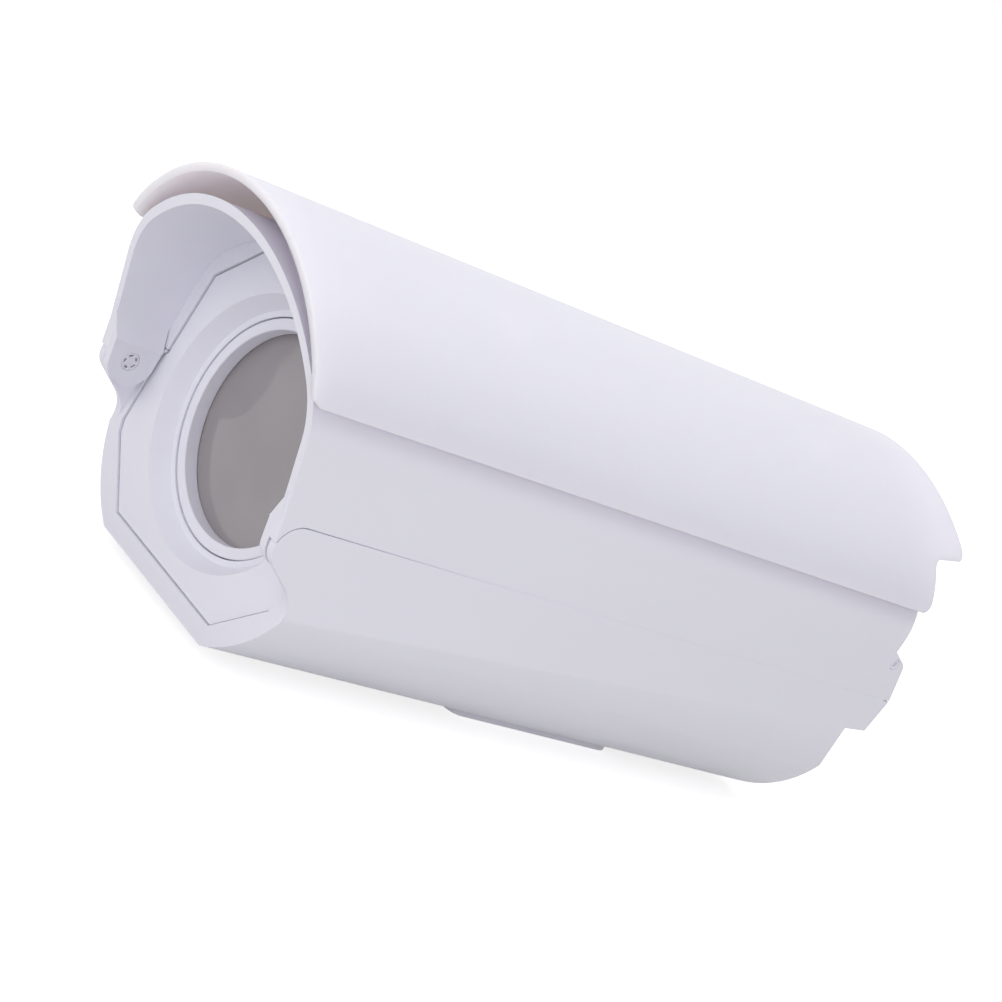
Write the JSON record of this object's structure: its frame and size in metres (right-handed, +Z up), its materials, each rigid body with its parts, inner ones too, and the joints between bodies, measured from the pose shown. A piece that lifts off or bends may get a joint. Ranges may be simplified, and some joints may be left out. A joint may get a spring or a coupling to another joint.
{
  "type": "security camera housing",
  "caption": "Long white camera housing with a round window, a hinged arched cover with visor, a raised sunshield, rear cable glands and a base plate.",
  "frame": {"origin": "centre of the underside of the mounting plate", "axes": "+Z up, the window looks along -Y, +X across the housing"},
  "size_m": [0.1146, 0.3109, 0.1292],
  "materials": {
    "white_shell": "satin moulded white plastic with a faint lavender tint",
    "white_shield": "satin white plastic",
    "white_cap": "satin white plastic",
    "white_metal": "white powder coat",
    "white_pin": "natural white acetal",
    "gland_plastic": "light grey nylon",
    "black_rubber": "matt rubber",
    "grey_silicone": "matt grey silicone",
    "clear_glass": "clear flat glass",
    "plain_aluminium": "plain sheet",
    "steel": "zinc plated"
  },
  "bodies": {
    "base": {"lower_body": "white_shell", "front_cap": "white_cap", "front_seal": "grey_silicone", "front_cap_screws": "steel", "window_ring": "white_cap", "window_glass": "clear_glass", "window_gasket": "grey_silicone", "rear_cap": "white_cap", "rear_seal": "black_rubber", "rear_cap_screws": "steel", "mount_plate": "white_metal", "backing_plate": "plain_aluminium", "mount_plate_screws": "steel", "cover_seal_left": "black_rubber", "cover_seal_right": "black_rubber", "hinge_pin_left": "white_pin", "hinge_pin_right": "white_pin", "gland_body_left": "gland_plastic", "gland_seal_left": "black_rubber", "gland_nut_left": "gland_plastic", "gland_locknut_left": "gland_plastic", "gland_body_right": "gland_plastic", "gland_seal_right": "black_rubber", "gland_nut_right": "gland_plastic", "gland_locknut_right": "gland_plastic"},
    "cover": {"upper_cover": "white_shell", "sunshield": "white_shield", "sunshield_screws": "steel", "lock_screw_left": "white_pin", "lock_nut_left": "steel", "lock_screw_right": "white_pin", "lock_nut_right": "steel"},
    "tray": {"camera_tray": "plain_aluminium", "camera_screw": "steel"}
  },
  "joints": [
    {"name": "cover_hinge", "type": "hinge", "parent": "base", "child": "cover", "pos_m": [0, -0.1589, 0.0508], "axis": [1, 0, 0], "range_deg": [0, 75]},
    {"name": "tray_slide", "type": "slide", "parent": "base", "child": "tray", "axis": [0, 1, 0], "range_m": [-0.015, 0.025]}
  ]
}
